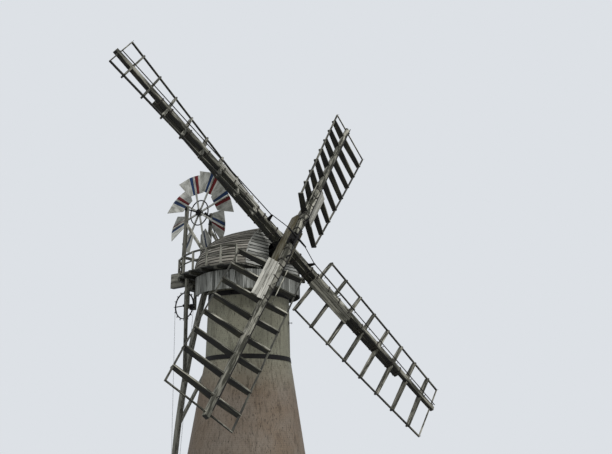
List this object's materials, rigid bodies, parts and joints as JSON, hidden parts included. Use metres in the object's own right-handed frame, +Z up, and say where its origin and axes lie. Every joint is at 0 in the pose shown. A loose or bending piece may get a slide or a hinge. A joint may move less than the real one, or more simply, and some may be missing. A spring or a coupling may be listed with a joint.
{
  "type": "tower windmill",
  "caption": "Brick tower windmill with a boat-shaped boarded cap, patent sails without their shutters, a fantail, a railed gallery and a striking chain wheel.",
  "frame": {"origin": "centre of the tower's foot, on the ground", "axes": "+Z up, -Y towards the side that the sails face, +X towards the side of the door"},
  "size_m": [16.6692, 10.3847, 19.073],
  "materials": {
    "rendered_brick": "matt, streaked",
    "floor_brick": "matt",
    "black_iron": "matt black paint",
    "bare_timber": "weathered, unpainted",
    "painted_timber": "worn white paint",
    "grey_boards": "weathered grey",
    "roof_boards": "weathered brown grey",
    "fan_paint": "worn pale paint",
    "door_boards": "dark tarred"
  },
  "bodies": {
    "tower": {"lower_wall_1": "rendered_brick", "lower_wall_2": "rendered_brick", "lower_wall_3": "rendered_brick", "lower_wall_4": "rendered_brick", "lower_wall_5": "rendered_brick", "wall_over_door": "rendered_brick", "upper_wall_1": "rendered_brick", "upper_wall_2": "rendered_brick", "upper_wall_3": "rendered_brick", "upper_wall_4": "rendered_brick", "ground_floor": "floor_brick", "iron_bands": "black_iron", "curb": "bare_timber", "door_frame": "painted_timber", "door": "door_boards"},
    "cap": {"cap_ring": "bare_timber", "sheers": "painted_timber", "gallery_joists": "bare_timber", "gallery_deck": "grey_boards", "near_petticoat": "grey_boards", "far_petticoat": "grey_boards", "near_roof": "roof_boards", "far_roof": "roof_boards", "front_gable": "grey_boards", "tail_board": "roof_boards", "cap_sill": "bare_timber", "bearings": "black_iron", "windshaft_beams": "bare_timber", "fan_stage": "painted_timber", "fan_posts": "painted_timber", "fan_post_braces": "painted_timber", "gallery_rail": "painted_timber", "tail_cross_beam": "painted_timber", "tail_pole": "bare_timber", "pole_braces": "bare_timber", "wheel_hangers": "painted_timber", "striking_chain": "black_iron"},
    "sails": {"windshaft": "black_iron", "inner_stock": "painted_timber", "outer_stock": "painted_timber", "sail_a": "painted_timber", "sail_b": "painted_timber", "sail_c": "painted_timber", "sail_d": "painted_timber", "sail_straps": "black_iron", "spider": "black_iron", "bell_cranks": "black_iron", "shutter_bars": "black_iron"},
    "fan": {"fan_wheel": "black_iron", "fan_blades": "fan_paint"},
    "drive_shaft": {"drive_shaft": "black_iron"},
    "chain_wheel": {"chain_wheel": "black_iron"}
  },
  "joints": [
    {"name": "cap_turn", "type": "hinge", "parent": "tower", "child": "cap", "pos_m": [0, 0, 9.64], "axis": [0, 0, 1], "continuous": true},
    {"name": "sails_turn", "type": "hinge", "parent": "cap", "child": "sails", "pos_m": [0, -2.123, 10.9153], "axis": [0, -0.9593, 0.2823], "continuous": true},
    {"name": "fan_turn", "type": "hinge", "parent": "cap", "child": "fan", "pos_m": [0, 3.251, 13.2853], "axis": [1, 0, 0], "continuous": true},
    {"name": "drive_shaft_turn", "type": "hinge", "parent": "cap", "child": "drive_shaft", "pos_m": [0.5, 3.251, 13.2853], "axis": [0, -0.5, -0.866], "continuous": true},
    {"name": "wheel_turn", "type": "hinge", "parent": "cap", "child": "chain_wheel", "pos_m": [-1, 2.94, 8.7703], "axis": [1, 0, 0], "continuous": true}
  ],
  "couplings": [
    {"joint": "drive_shaft_turn", "follows": "fan_turn", "ratio": 1}
  ]
}
